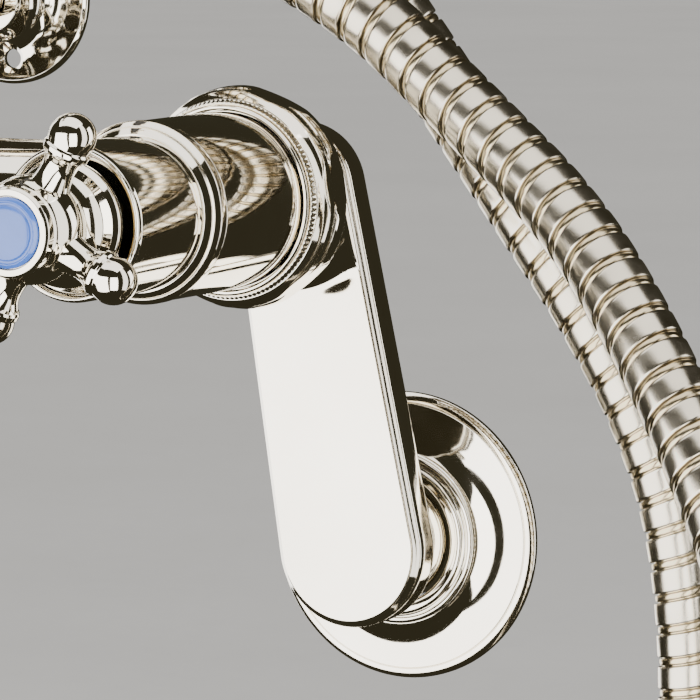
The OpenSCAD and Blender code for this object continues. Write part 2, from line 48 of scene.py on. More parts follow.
# Places shared with the solids, in millimetres.
INLET_X = 101.6
ARM_LEN = 80.8
ARM_LEAN = math.radians(10.3)
PORT_X = INLET_X - ARM_LEN * math.sin(ARM_LEAN)
PORT_Z = ARM_LEN * math.cos(ARM_LEAN)
RISER_Y = -76.0
ELBOW_Z = 142.0
BRACKET_Z = 119.0
CROSS_OUT = 145.0
ROUTE = [
    (48, -60, 142), (62, -55, 142), (76, -52, 139.5), (90, -50, 134.5), (104, -49, 127.5),
    (120, -49, 117.5), (136, -52, 105.5), (152, -57, 94), (168, -63, 82.5), (184, -71, 68.5),
    (203, -82, 47), (222, -93, 19), (239, -103, -14), (252, -111, -52), (261, -117, -95),
    (266, -121, -152), (267, -122, -207), (261, -115.5, -241), (244, -97.5, -265.5),
    (221, -72.5, -274.5), (198, -48, -265.5), (181, -29.5, -241), (175, -23, -207),
    (175, -22, -152), (178, -22, -97), (182, -23, -55), (184, -25, -20), (181, -27, 11),
    (173, -29, 35), (161, -30, 56), (147, -30, 75), (129, -29, 98), (111, -29, 121.5),
    (97, -33, 140), (83, -43, 153), (67, -56, 165), (55, -65, 182),
]
HOSE_END = np.array(ROUTE[-1], float)
OUTLET_LEN = math.hypot(ROUTE[0][0], ROUTE[0][1] - RISER_Y)
OUTLET_DIR = np.array([ROUTE[0][0], ROUTE[0][1] - RISER_Y, 0.0]) / OUTLET_LEN


# ---- camera ---------------------------------------------------------------------------------

LENS_MM = 360
SENSOR_MM = 36
NEAREST, FARTHEST = 0.01, 200
# One row for each axis: the camera's right, up and backward directions, then its place in metres.
CAMERA_POSE = (
    (0.8893, -0.0466, 0.4550, 0.8075),
    (0.4574, 0.0906, -0.8846, -1.4010),
    (0.0, 0.9948, 0.1019, 0.2025),
    (0, 0, 0, 1),
)


def new_object(name, data):
    obj = bpy.data.objects.new(name, data)
    bpy.context.scene.collection.objects.link(obj)
    return obj


def make_camera():
    data = bpy.data.cameras.new("camera")
    data.lens = LENS_MM
    data.sensor_width = SENSOR_MM
    data.clip_start = NEAREST
    data.clip_end = FARTHEST
    obj = new_object("camera", data)
    obj.matrix_world = Matrix(CAMERA_POSE)
    bpy.context.scene.camera = obj


make_camera()


# ---- materials ------------------------------------------------------------------------------

NOISE_LOW, NOISE_HIGH = 0.3, 0.7  # the middle part of a noise's values
# Depths of surface detail, in metres.
GRAIN_DEPTH = 0.00005
DENT_DEPTH = 0.0004
PORE_DEPTH = 0.0001
DENT_STRENGTH = 0.04
ENAMEL_ROUGHNESS = 0.06


class Nodes:
    """A short way to write a material's nodes."""

    def __init__(self, name):
        self.material = bpy.data.materials.new(name)
        self.material.use_nodes = True
        self.tree = self.material.node_tree
        self.shader = self.tree.nodes["Principled BSDF"]
        self.coords = self.tree.nodes.new("ShaderNodeTexCoord").outputs["Object"]

    def noise(self, scale, detail):
        node = self.tree.nodes.new("ShaderNodeTexNoise")
        self.tree.links.new(self.coords, node.inputs["Vector"])
        node.inputs["Scale"].default_value = scale
        node.inputs["Detail"].default_value = detail
        return node.outputs[0]

    def span(self, value, low, high):
        """Stretches the middle of a noise over low to high."""
        node = self.tree.nodes.new("ShaderNodeMapRange")
        self.tree.links.new(value, node.inputs["Value"])
        keys = ("From Min", "From Max", "To Min", "To Max")
        for key, number in zip(keys, (NOISE_LOW, NOISE_HIGH, low, high)):
            node.inputs[key].default_value = number
        return node.outputs["Result"]

    def ramp(self, value, stops):
        node = self.tree.nodes.new("ShaderNodeValToRGB")
        self.tree.links.new(value, node.inputs["Fac"])
        while len(node.color_ramp.elements) < len(stops):
            node.color_ramp.elements.new(0.5)
        for element, (place, colour) in zip(node.color_ramp.elements, stops):
            element.position = place
            element.color = (*colour, 1)
        return node.outputs["Color"]

    def bump(self, height, strength, distance, under=None):
        node = self.tree.nodes.new("ShaderNodeBump")
        node.inputs["Strength"].default_value = strength
        node.inputs["Distance"].default_value = distance
        self.tree.links.new(height, node.inputs["Height"])
        if under is not None:
            self.tree.links.new(under, node.inputs["Normal"])
        return node.outputs["Normal"]

    def wire(self, socket, source):
        self.tree.links.new(source, self.shader.inputs[socket])

    def fix(self, **values):
        for key, value in values.items():
            self.shader.inputs[key.replace("_", " ")].default_value = value


def metal(name, dark, light, rough, grain):
    """A metal whose colour, gloss and grain vary a little from place to place."""
    m = Nodes(name)
    cloud = m.noise(24, 6)
    smear = m.noise(140, 5)
    fine = m.noise(1800, 3)
    m.wire("Base Color", m.ramp(cloud, [(0.32, dark), (0.68, light)]))
    m.wire("Roughness", m.span(smear, rough[0], rough[1]))
    dents = m.bump(cloud, DENT_STRENGTH, DENT_DEPTH)
    m.wire("Normal", m.bump(fine, grain, GRAIN_DEPTH, dents))
    m.fix(Metallic=1.0)
    return m.material


def plastic(name, dark, light, rough, grain, coat=0.0):
    """A moulded or fired material with a fine surface grain and faint clouding."""
    m = Nodes(name)
    cloud = m.noise(60, 6)
    pores = m.noise(2600, 3)
    m.wire("Base Color", m.ramp(cloud, [(0.3, dark), (0.7, light)]))
    m.wire("Roughness", m.span(m.noise(420, 4), rough[0], rough[1]))
    m.wire("Normal", m.bump(pores, grain, PORE_DEPTH))
    m.fix(Metallic=0.0)
    if coat:
        m.fix(Coat_Weight=coat, Coat_Roughness=ENAMEL_ROUGHNESS)
    return m.material


MATERIALS = {
    "nickel": metal("nickel", (0.76, 0.71, 0.61), (0.83, 0.79, 0.70), (0.03, 0.075), 0.02),
    "steel": metal("steel", (0.60, 0.58, 0.54), (0.72, 0.70, 0.66), (0.16, 0.28), 0.12),
    "hose_steel": metal("hose_steel", (0.50, 0.455, 0.37), (0.63, 0.58, 0.485), (0.17, 0.28), 0.10),
    "brass": metal("brass", (0.62, 0.44, 0.18), (0.76, 0.58, 0.28), (0.18, 0.34), 0.15),
    "ceramic": plastic("ceramic", (0.84, 0.82, 0.77), (0.92, 0.90, 0.86), (0.12, 0.22), 0.05),
    "white_plastic": plastic("white_plastic", (0.80, 0.79, 0.75), (0.88, 0.87, 0.84), (0.34, 0.48),
                             0.12),
    "rubber": plastic("rubber", (0.016, 0.016, 0.017), (0.034, 0.033, 0.032), (0.50, 0.68), 0.45),
    "hot_button": plastic("hot_button", (0.50, 0.03, 0.025), (0.60, 0.05, 0.04), (0.16, 0.26), 0.05,
                          0.6),
    "cold_button": plastic("cold_button", (0.03, 0.09, 0.36), (0.05, 0.13, 0.46), (0.16, 0.26),
                           0.05, 0.6),
}
# The hose's recessed band is the same steel, made darker and more golden here: painted shade in the
# groove.
MATERIALS["hose_groove_painted_shade"] = metal("hose_groove_painted_shade", (0.44, 0.36, 0.23), (0.58, 0.50, 0.34),
                                 (0.16, 0.28), 0.12)


# ---- shapes ---------------------------------------------------------------------------------

# A profile is a list of (radius, height) or (radius, height, corner radius), in millimetres.
CORNER_STEPS = 4
CORNER_SHARE = 0.45  # the most of an edge that one rounded corner may take up
SLIGHT_BEND = math.radians(8)  # corners flatter than this stay as they are
SHAPED_STEP = 0.45  # the height of the rows of a lathe that has flats
SHAPED_FROM = 8  # rows nearer to the axis than this have no flats
FLAT_BLEND = 0.14  # how softly a flat meets the round
FLAT_CORNER = 0.25  # how much is taken off the corner between two flats


def arc(x, y, r, a0, a1, steps=8):
    """Points along an arc about (x, y), from angle a0 to a1 in degrees."""
    turn = np.radians(np.linspace(a0, a1, steps + 1))
    return [(x + r * math.cos(a), y + r * math.sin(a), 0) for a in turn]


def curve(points, steps=6):
    """A smooth curve through points, of any dimension, as an array."""
    p = np.array(points, float)
    last = len(p) - 1
    out = []
    for i in range(last):
        a, b, c, d = (p[min(last, max(0, k))] for k in (i - 1, i, i + 1, i + 2))
        for t in np.arange(steps) / steps:
            out.append(0.5 * (2 * b + (c - a) * t + (2 * a - 5 * b + 4 * c - d) * t * t
                              + (3 * b - a - 3 * c + d) * t ** 3))
    out.append(p[last])
    return np.array(out)


def eased(points, steps=6):
    """A smooth run of profile points whose corners need no rounding."""
    return [(r, h, 0) for r, h in curve(points, steps)]


def rounded(profile, radius):
    """The profile with each corner rounded. A point's own third number overrides the radius."""
    pts = [(p[0], p[1], p[2] if len(p) > 2 else radius) for p in profile]
    closed = not (abs(pts[0][0]) < 1e-6 and abs(pts[-1][0]) < 1e-6)
    out = []
    for i, (r, h, soft) in enumerate(pts):
        if soft <= 0 or (not closed and i in (0, len(pts) - 1)):
            out.append((r, h))
            continue
        here = np.array((r, h))
        before = np.array(pts[i - 1][:2]) - here
        after = np.array(pts[(i + 1) % len(pts)][:2]) - here
        lb, la = np.linalg.norm(before), np.linalg.norm(after)
        if lb < 1e-6 or la < 1e-6:
            continue
        before, after = before / lb, after / la
        bend = math.pi - math.acos(max(-1, min(1, float(before @ after))))
        if bend < SLIGHT_BEND:
            out.append((r, h))
            continue
        cut = min(soft * math.tan(bend / 2), CORNER_SHARE * lb, CORNER_SHARE * la)
        a, b = here + before * cut, here + after * cut
        for t in np.linspace(0, 1, CORNER_STEPS + 1):
            out.append(tuple((1 - t) ** 2 * a + 2 * t * (1 - t) * here + t * t * b))
    return np.array(out), closed


def lathe(profile, seg=144, radius=0.25, shape=None):
    """A profile of (radius, height) turned about the local third axis, as (vertices, faces).
    shape(angle, radius, height) may change the radius, for flats."""
    prof, closed = rounded(profile, radius)
    if shape:
        fine = [prof[0]]
        for a, b in zip(prof[:-1], prof[1:]):
            n = 1
            if max(a[0], b[0]) > SHAPED_FROM:
                n = max(1, int(np.linalg.norm(b - a) / SHAPED_STEP))
            fine += [a + (b - a) * (k + 1) / n for k in range(n)]
        prof = np.array(fine)
    turn = 2 * math.pi * np.arange(seg) / seg
    verts, faces, rows = [], [], []
    for r, h in prof:
        if r < 1e-6:
            rows.append([len(verts)])
            verts.append((0, 0, h))
            continue
        radii = shape(turn, r, h) if shape else np.full(seg, r)
        rows.append(list(range(len(verts), len(verts) + seg)))
        verts += [(q * math.cos(a), q * math.sin(a), h) for q, a in zip(radii, turn)]
    pairs = list(zip(rows[:-1], rows[1:])) + ([(rows[-1], rows[0])] if closed else [])
    for low, high in pairs:
        for k in range(seg):
            n = (k + 1) % seg
            quad = (low[k % len(low)], low[n % len(low)], high[n % len(high)], high[k % len(high)])
            quad = list(dict.fromkeys(quad))
            if len(quad) > 2:
                faces.append(quad)
    return np.array(verts, float), faces


def flats(across, sides, turn=0.0):
    """A radius limit for lathe: a prism of that many sides, softly met."""
    step = 2 * math.pi / sides
    start = math.radians(turn)

    def limit(angle, r, h):
        off = (angle - start + step / 2) % step - step / 2
        away = np.abs(off)
        prism = across / 2 / np.cos(step / 2 - away)
        prism = np.minimum(prism, across / 2 / math.cos(step / 2) - FLAT_CORNER)
        return -FLAT_BLEND * np.logaddexp(-r / FLAT_BLEND, -prism / FLAT_BLEND)

    return limit


def ring_faces(rings, count, start=0):
    """The faces between neighbouring rings of count vertices each."""
    faces = []
    for low in range(start, start + (rings - 1) * count, count):
        for k in range(count):
            n = (k + 1) % count
            faces.append([low + k, low + n, low + count + n, low + count + k])
    return faces


def directions(points):
    d = np.gradient(points, axis=0)
    return d / np.linalg.norm(d, axis=1)[:, None]


def sweep(path, radii, seg, first=(0.0, 0.0, 1.0)):
    """A round tube or rod along a path, with a radius at each point, closed at its ends."""
    p = np.array(path, float)
    radii = np.broadcast_to(radii, len(p))
    d = directions(p)
    side = np.array(first)
    if abs(side @ d[0]) > 0.9:
        side = np.array((0.0, 1.0, 0.0))
    verts = [p[0]]
    turn = 2 * math.pi * np.arange(seg) / seg
    for q, direction, r in zip(p, d, radii):
        side = side - (side @ direction) * direction
        side /= np.linalg.norm(side)
        other = np.cross(direction, side)
        verts += [q + r * (math.cos(a) * side + math.sin(a) * other) for a in turn]
    verts.append(p[-1])
    faces = ring_faces(len(p), seg, 1)
    last, top = len(verts) - 1, 1 + (len(p) - 1) * seg
    for k in range(seg):
        n = (k + 1) % seg
        faces.append([0, 1 + n, 1 + k])
        faces.append([last, top + k, top + n])
    return np.array(verts), faces


def strap(path, wide, thick, corner, seg, across=(0, 1, 0)):
    """A flat bar with rounded corners along a path. across is the direction of its width."""
    w = np.array(across, float)
    section = []
    for cx, cy, a0 in ((1, 1, 0), (-1, 1, 90), (-1, -1, 180), (1, -1, 270)):
        for a in np.radians(np.linspace(a0, a0 + 90, seg + 1)):
            section.append((cx * (wide / 2 - corner) + corner * math.cos(a),
                            cy * (thick / 2 - corner) + corner * math.sin(a)))
    p = np.array(path, float)
    steps = len(section)
    verts = []
    for q, direction in zip(p, directions(p)):
        t = np.cross(w, direction)
        verts += [q + (u * w + v * t) for u, v in section]
    faces = ring_faces(len(p), steps)
    faces.append(list(range(steps))[::-1])
    faces.append([(len(p) - 1) * steps + k for k in range(steps)])
    return np.array(verts), faces


# ---- places ---------------------------------------------------------------------------------

def out_of_wall(x, z, side=1, lean=0.0):
    """Local (across, up, out of the wall) about a point of the wall, mirrored on the left."""
    c, s = math.cos(lean), math.sin(lean)

    def place(p):
        across = p[:, 0] * c - p[:, 1] * s
        up = p[:, 0] * s + p[:, 1] * c
        return np.stack([side * (x + across), -p[:, 2], z + up], 1)

    return place


def port(side):
    return out_of_wall(PORT_X, PORT_Z, side)


def at_riser(p):
    return p + np.array((0, RISER_Y, 0))


def on_riser(up):
    return lambda p: at_riser(p + (0, 0, up))


def basis(origin, x, y, z):
    m = np.array([x, y, z], float)
    return lambda p: np.array(origin, float) + p @ m


OUTLET_SIDE = np.cross((0, 0, 1), OUTLET_DIR)
at_outlet = basis((0, RISER_Y, ELBOW_Z), OUTLET_SIDE, (0, 0, 1), OUTLET_DIR)


def turned(axis, degrees):
    a = math.radians(degrees)
    c, s = math.cos(a), math.sin(a)
    if axis == "y":
        return np.array(((c, 0, s), (0, 1, 0), (-s, 0, c)))
    return np.array(((c, -s, 0), (s, c, 0), (0, 0, 1)))


SPRAY = turned("z", -148) @ turned("y", 40) @ turned("z", 64)
HEAD_UP = 156.0
HEAD_TILT = math.radians(75)
CHAMBER_UP = 122.0
PIVOT = np.array((23.0, 0.0, 138.0))


def at_spray(p):
    return HOSE_END + p @ SPRAY.T


def at_head(p):
    c, s = math.cos(HEAD_TILT), math.sin(HEAD_TILT)
    x = p[:, 0] * c + p[:, 2] * s
    z = -p[:, 0] * s + p[:, 2] * c
    return at_spray(np.stack([x, p[:, 1], HEAD_UP + z], 1))


def across_spray(up):
    return lambda p: at_spray(np.stack([p[:, 2], p[:, 1], up - p[:, 0]], 1))


def shifted(shape, offset):
    verts, faces = shape
    return verts + offset, faces


def about_pivot(shape, y=0.0):
    """A turned shape laid across the spray, round the lever's pivot."""
    v, faces = shape
    return np.stack([PIVOT[0] + v[:, 0], y + v[:, 2], PIVOT[2] + v[:, 1]], 1), faces


# ---- pieces ---------------------------------------------------------------------------------

WELD = 2e-6  # metres: vertices closer than this are one
THIN = 1e-6  # metres: edges shorter than this are dropped


def shade(mesh, sharp):
    """Smooth shading, with the edges over sharp degrees kept crisp."""
    mesh.polygons.foreach_set("use_smooth", [True] * len(mesh.polygons))
    mesh.set_sharp_from_angle(angle=math.radians(sharp))


def raw(name, verts, faces):
    mesh = bpy.data.meshes.new(name)
    mesh.from_pydata([tuple(v) for v in np.asarray(verts) * MM], [], faces)
    bm = bmesh.new()
    bm.from_mesh(mesh)
    bmesh.ops.remove_doubles(bm, verts=bm.verts, dist=WELD)
    bmesh.ops.dissolve_degenerate(bm, edges=bm.edges, dist=THIN)
    bmesh.ops.recalc_face_normals(bm, faces=bm.faces)
    bm.to_mesh(mesh)
    bm.free()
    return new_object(name, mesh)


def merged(name, shapes, cut=()):
    """The union of several closed shapes, less the ones in cut, as one mesh object."""
    whole = raw(name, *shapes[0])
    for verts, faces in [*shapes[1:], *cut]:
        tool = raw(name + "_tool", verts, faces)
        step = whole.modifiers.new("join", "BOOLEAN")
        step.operation = "UNION" if any(verts is s[0] for s in shapes) else "DIFFERENCE"
        step.solver = "MANIFOLD"
        step.object = tool
        solved = whole.evaluated_get(bpy.context.evaluated_depsgraph_get())
        mesh = bpy.data.meshes.new_from_object(solved)
        whole.modifiers.clear()
        whole.data = mesh
        bpy.data.objects.remove(tool)
    return whole


def finished(obj, slot, body, nodes, sharp):
    """Gives a built object its material, shading and body, and hides the solids it stands for."""
    obj.data.materials.clear()
    obj.data.materials.append(MATERIALS[slot])
    shade(obj.data, sharp)
    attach(obj, body)
    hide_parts(*nodes)
    return obj


def placed(shape, place):
    verts, faces = shape
    return place(verts), faces


def turned_piece(node, profile, place, body, slot="nickel", seg=144, radius=0.25, shape=None,
                 sharp=32):
    """One solid of revolution that stands for one node."""
    verts, faces = placed(lathe(profile, seg, radius, shape), place)
    return finished(raw(node + ".look", verts, faces), slot, body, [node], sharp)


def joined_piece(node, shapes, body, cut=(), sharp=30):
    """One solid made of several shapes that stands for one node."""
    return finished(merged(node + ".look", shapes, cut), "nickel", body, [node], sharp)


# ---- hose -----------------------------------------------------------------------------------

HOSE_PITCH = 7.2
HOSE_SIDES = 64
HOSE_SHARP = 38
# One turn of the wound strip: (share of the pitch, radius in mm, is it the recessed band, which gets
# a darker material as painted shade).
HOSE_PROFILE = [
    (0.000, 6.95, 1), (0.008, 7.70, 0), (0.018, 7.88, 0), (0.040, 7.96, 0), (0.10, 7.99, 0),
    (0.22, 8.0, 0), (0.36, 8.01, 0), (0.50, 8.0, 0), (0.62, 7.99, 0), (0.676, 7.96, 0),
    (0.698, 7.88, 0), (0.708, 7.70, 0), (0.716, 6.95, 1), (0.738, 6.95, 1), (0.750, 7.42, 1),
    (0.80, 7.56, 1), (0.87, 7.60, 1), (0.935, 7.54, 1), (0.962, 7.42, 1), (0.974, 6.95, 1),
]


def make_hose():
    line = curve(ROUTE, 24)
    away = np.r_[0, np.cumsum(np.linalg.norm(np.diff(line, axis=0), axis=1))]
    length = away[-1]
    direction = directions(line)
    side = [np.array((0.0, 0.0, 1.0))]
    for d in direction:
        s = side[-1] - (side[-1] @ d) * d
        side.append(s / np.linalg.norm(s))
    side = np.array(side[1:])

    turns = int(math.ceil(length / HOSE_PITCH)) + 1
    count = (turns + 1) * HOSE_SIDES + 1
    step = np.arange(count)
    share = np.array([p[0] for p in HOSE_PROFILE])
    radius = np.array([p[1] for p in HOSE_PROFILE])
    along = HOSE_PITCH * (step[:, None] / HOSE_SIDES - 1 + share[None, :])
    along = np.clip(along, 0, length)
    angle = np.broadcast_to((2 * math.pi * step / HOSE_SIDES)[:, None], along.shape)
    centre, d, s = (
        np.stack([np.interp(along, away, table[:, k]) for k in range(3)], -1)
        for table in (line, direction, side)
    )
    d /= np.linalg.norm(d, axis=-1)[..., None]
    s -= (s * d).sum(-1)[..., None] * d
    s /= np.linalg.norm(s, axis=-1)[..., None]
    other = np.cross(d, s)
    outward = np.cos(angle)[..., None] * s + np.sin(angle)[..., None] * other
    points = centre + radius[None, :, None] * outward
    columns = len(HOSE_PROFILE)

    def at(i, p):
        return i * columns + p

    faces, shaded_bands = [], []
    for i in range(count - 1):
        for p in range(columns):
            if p < columns - 1:
                quad = [at(i, p), at(i + 1, p), at(i + 1, p + 1), at(i, p + 1)]
            elif i + 1 + HOSE_SIDES < count:
                quad = [at(i, p), at(i + 1, p), at(i + 1 + HOSE_SIDES, 0), at(i + HOSE_SIDES, 0)]
            else:
                continue
            low, high = along.flat[quad[0]], along.flat[quad[3]]
            if high - low < 1e-6 and along.flat[quad[2]] - along.flat[quad[1]] < 1e-6:
                continue
            faces.append(quad)
            q = (p + 1) % columns
            # Faces of the recessed band take the second, darker material: painted shade in the
            # groove.
            shaded_bands.append(1 if HOSE_PROFILE[p][2] and HOSE_PROFILE[q][2] else 0)
    mesh = bpy.data.meshes.new("hose.look")
    mesh.from_pydata((points.reshape(-1, 3) * MM).tolist(), [], faces)
    mesh.materials.append(MATERIALS["hose_steel"])
    mesh.materials.append(MATERIALS["hose_groove_painted_shade"])
    mesh.polygons.foreach_set("material_index", shaded_bands)
    bm = bmesh.new()
    bm.from_mesh(mesh)
    bmesh.ops.delete(bm, geom=[v for v in bm.verts if not v.link_faces], context="VERTS")
    bmesh.ops.remove_doubles(bm, verts=bm.verts, dist=1e-6)
    bmesh.ops.dissolve_degenerate(bm, edges=bm.edges, dist=1e-7)
    bmesh.ops.holes_fill(bm, edges=[e for e in bm.edges if e.is_boundary], sides=0)
    bmesh.ops.recalc_face_normals(bm, faces=bm.faces)
    bm.to_mesh(mesh)
    bm.free()
    shade(mesh, HOSE_SHARP)
    obj = new_object("hose.look", mesh)
    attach(obj, "faucet_body")
    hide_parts("hose")
    return obj, line, length


FERRULE = [
    (0, -0.01), (7.4, -0.01), (7.4, -0.4), (9.2, -0.4), (9.2, -2), (8.9, -2.4), (8.9, -5.2),
    (8.55, -5.5), (8.55, -6.3), (8.9, -6.6), (8.9, -11), (9.3, -11.5), (9.3, -13), (8.7, -13.8),
    (8.05, -13.9), (8.0, -13.2), (7.2, -13.0), (7.2, -1.0), (0, -1.0),
]
HOSE_NUT = [
    (6.5, 0.2), (10.4, 0.2), (10.9, 0.5), (12.9, 4.6), (13.6, 6), (13.6, 15.0), (12.4, 16),
    (10.5, 16), (10.5, 12), (6.5, 12),
]
NUT_FLATS = 47.0
NUT_TURN = 39.0
KNURL = (58.95, 60.3)  # the heights that it lies between
KNURL_FROM = 21.3  # the radius that it starts from
KNURL_TEETH = 120
KNURL_DEPTH = 0.09


def nut_shape():
    """Six shallow flats round the nut, and a fine knurl on its narrow front chamfer."""
    limit = flats(NUT_FLATS, 6, NUT_TURN)

    def shape(angle, r, h):
        radii = limit(angle, r, h)
        if KNURL[0] < h < KNURL[1] and r > KNURL_FROM:
            radii = radii + KNURL_DEPTH * np.cos(KNURL_TEETH * angle)
        return radii

    return shape


def at_hose_start(p):
    """Heights count back from the outlet's end, towards the elbow."""
    return at_outlet(p * (1, 1, -1) + (0, 0, OUTLET_LEN))


def make_hose_ends():
    ends = []
    for where, place in (("elbow", at_hose_start), ("spray", at_spray)):
        ends.append(turned_piece(where + "_ferrule", FERRULE, place, "faucet_body", radius=0.3))
        ends.append(turned_piece(where + "_hose_nut", HOSE_NUT, place, "faucet_body", seg=384,
                                 shape=flats(25.1, 8), radius=0.35, sharp=40))
    return ends


hose, hose_line, hose_length = make_hose()
hose_ends = make_hose_ends()
[tuple(p) for p in hose_line[::4] * MM]


# ---- wall inlets and arms -------------------------------------------------------------------

def flange_profile():
    dome = eased([(30.0, 2.35), (27.5, 2.85), (25, 3.45), (22.8, 4.2), (21.2, 5.0), (20.1, 5.75),
                  (19.6, 6.3)], 5)
    return [
        (14.4, 6.2, 0.2), (16.2, 5.8, 1), (20, 3.9, 2), (26, 1.6, 2), (30, 0.6, 1), (30.8, 0, 0.1),
        (32.5, 0, 0.1), (32.5, 1.2, 0.5), (31.4, 2.15, 0.35), (30.35, 2.2, 0.15),
        (30.25, 1.95, 0.1), *dome, *arc(18.4, 6.1, 1.1, 10, 85, 7), (17.9, 7.0, 0.15),
        (17.6, 7.1, 0.1), *arc(16.4, 7.35, 1.05, 10, 90, 7), *arc(15.4, 7.5, 0.95, 90, 180, 6),
    ]


ARM_LOW_R, ARM_TOP_R = 17.6, 15.0
ARM_BACK, ARM_FRONT = 20.0, 30.3
ARM_EDGE = 2.6  # radius of the back's edge
ARM_MIDDLE = 15.0  # how far in the innermost ring of the back lies
CROWN, CROWN_REACH = 0.95, 4.5
CROWN_EDGE = 1.5
BOSS_R = 14.0
BOSS_TOP = 47.6
FLARE = 16.6
FLARE_SPREAD = 10.4
FLARE_FRONT = 45.7
FLARE_BLEND = 0.12


def arm_outline():
    """Points all round the arm's outline, with their outward directions, in its own frame."""
    low_r, top_r = ARM_LOW_R, ARM_TOP_R
    tilt = math.asin((low_r - top_r) / ARM_LEN)
    points, normals = [], []

    def add(cx, cy, r, a):
        n = np.array((math.cos(a), math.sin(a)))
        points.append(np.array((cx, cy)) + r * n)
        normals.append(n)

    for a in np.linspace(math.pi - tilt, 2 * math.pi + tilt, 150):
        add(0, 0, low_r, a)
    for t in np.linspace(0, 1, 90)[1:-1]:
        add(0, ARM_LEN * t, low_r + (top_r - low_r) * t, tilt)
    for a in np.linspace(tilt, math.pi - tilt, 150):
        add(0, ARM_LEN, top_r, a)
    for t in np.linspace(1, 0, 90)[1:-1]:
        add(0, ARM_LEN * t, low_r + (top_r - low_r) * t, math.pi - tilt)
    return np.array(points), np.array(normals)


def inset_of(p):
    """How far inside the arm's outline a point lies."""
    low_r, top_r = ARM_LOW_R, ARM_TOP_R
    b = (low_r - top_r) / ARM_LEN
    a = math.sqrt(1 - b * b)
    x, y = np.abs(p[:, 0]), p[:, 1]
    k = -b * x + a * y
    low = np.hypot(x, y) - low_r
    top = np.hypot(x, y - ARM_LEN) - top_r
    middle = x * a + y * b - low_r
    return -np.where(k < 0, low, np.where(k > a * ARM_LEN, top, middle))


def face_height(p):
    """Height of the arm's front face: a soft crown, swept up into the boss."""
    inset = np.maximum(inset_of(p) - CROWN_EDGE, 0)
    crown = ARM_FRONT + CROWN * (1 - np.exp(-inset / CROWN_REACH))
    reach = np.hypot(p[:, 0], p[:, 1] - ARM_LEN)
    x = np.clip(BOSS_R + FLARE - reach, 0, FLARE)
    rise = FLARE_FRONT - np.sqrt(np.maximum(FLARE ** 2 - x ** 2, 0))
    return FLARE_BLEND * np.logaddexp(crown / FLARE_BLEND, rise / FLARE_BLEND)


def arm_shape():
    """The arm's closed outer surface, as a stack of rings from the back's middle to the boss."""
    outline, normal = arm_outline()
    centre = np.array((0, ARM_LEN))
    rings = []
    for share in (1.0, 0.66, 0.33):
        inset = ARM_EDGE + (ARM_MIDDLE - ARM_EDGE) * share
        rings.append((outline - inset * normal, ARM_BACK))
    for a in np.linspace(-90, 0, 9):
        a = math.radians(a)
        inset = ARM_EDGE - ARM_EDGE * math.cos(a)
        rings.append((outline - inset * normal, ARM_BACK + ARM_EDGE + ARM_EDGE * math.sin(a)))
    for inset, height in ((0, 24.5), (0, 26.5), (0, 28.35), (0.06, 28.6), (0.2, 28.8), (0.7, 29.35),
                          (1.2, 29.92), (1.34, 30.1), (1.5, 30.2)):
        rings.append((outline - inset * normal, height))
    edge = outline - 1.6 * normal
    away = np.linalg.norm(edge - centre, axis=1)
    ray = (edge - centre) / away[:, None]
    away = np.maximum(away, BOSS_R + 0.05)
    bend = BOSS_R + np.minimum(FLARE_SPREAD, 0.6 * (away - BOSS_R))
    steps = [(1, t) for t in np.linspace(1, 0, 27)] + [(0, t) for t in np.linspace(1, 0, 22)[1:]]
    for outer, t in steps:
        if outer:
            reach = bend + (away - bend) * t
        else:
            reach = BOSS_R + (bend - BOSS_R) * (1 - math.cos(t * math.pi / 2))
        p = centre + ray * reach[:, None]
        rings.append((p, face_height(p)))
    rings.append((centre + ray * BOSS_R, BOSS_TOP))
    count = len(outline)
    verts = [np.column_stack([p, np.broadcast_to(h, count)]) for p, h in rings]
    verts.append(np.array([[0, ARM_LEN, BOSS_TOP]]))
    faces = ring_faces(len(rings), count)
    top = len(rings) * count
    for k in range(count):
        n = (k + 1) % count
        faces.append([top, (len(rings) - 1) * count + k, (len(rings) - 1) * count + n])
    faces.append(list(range(count))[::-1])
    return np.concatenate(verts), faces


THREAD_START, THREAD_PITCH, THREAD_TURNS = -14.4, 1.8, 7
THREAD_LOW, THREAD_TOP = 10.05, 10.46


def nipple():
    """The threaded end in the wall's pipe, and the neck between the flange and the arm."""
    thread = []
    for i in range(THREAD_TURNS):
        start = THREAD_START + i * THREAD_PITCH
        thread += [
            (THREAD_LOW, start, 0.05), (THREAD_TOP, start + 0.6, 0.1),
            (THREAD_TOP, start + 0.9, 0.1), (THREAD_LOW, start + 1.5, 0.05),
        ]
    return [
        (0, 0), (7.2, 0, 0.1), (7.2, -14.9, 0.2), (9.6, -14.9, 0.2), *thread, (9.9, -1, 0.2),
        (9.9, 2, 0.2), (13.6, 2.4, 0.3), (13.9, 3.2, 0.3), (13.9, 14.5, 1.5), (14.6, 17.6, 2.0),
        (16.2, 20.2, 0.5), (0, 20.4),
    ]


def make_arm(side, name):
    place = out_of_wall(INLET_X, 0, side, ARM_LEAN)
    body = "arm_" + name
    turned_piece("wall_flange_" + name, flange_profile(), out_of_wall(INLET_X, 0, side), body,
                 seg=256, sharp=34)
    spigot = lathe([(0, 46.5), (16.3, 46.5, 0.3), (16.3, 51.1, 0.5), (0, 51.1)])
    spigot = shifted(spigot, (0, ARM_LEN, 0))
    shapes = [placed(s, place) for s in (arm_shape(), lathe(nipple(), 144), spigot)]
    joined_piece("swing_arm_" + name, shapes, body, sharp=27)


# ---- couplings, body and handles ------------------------------------------------------------

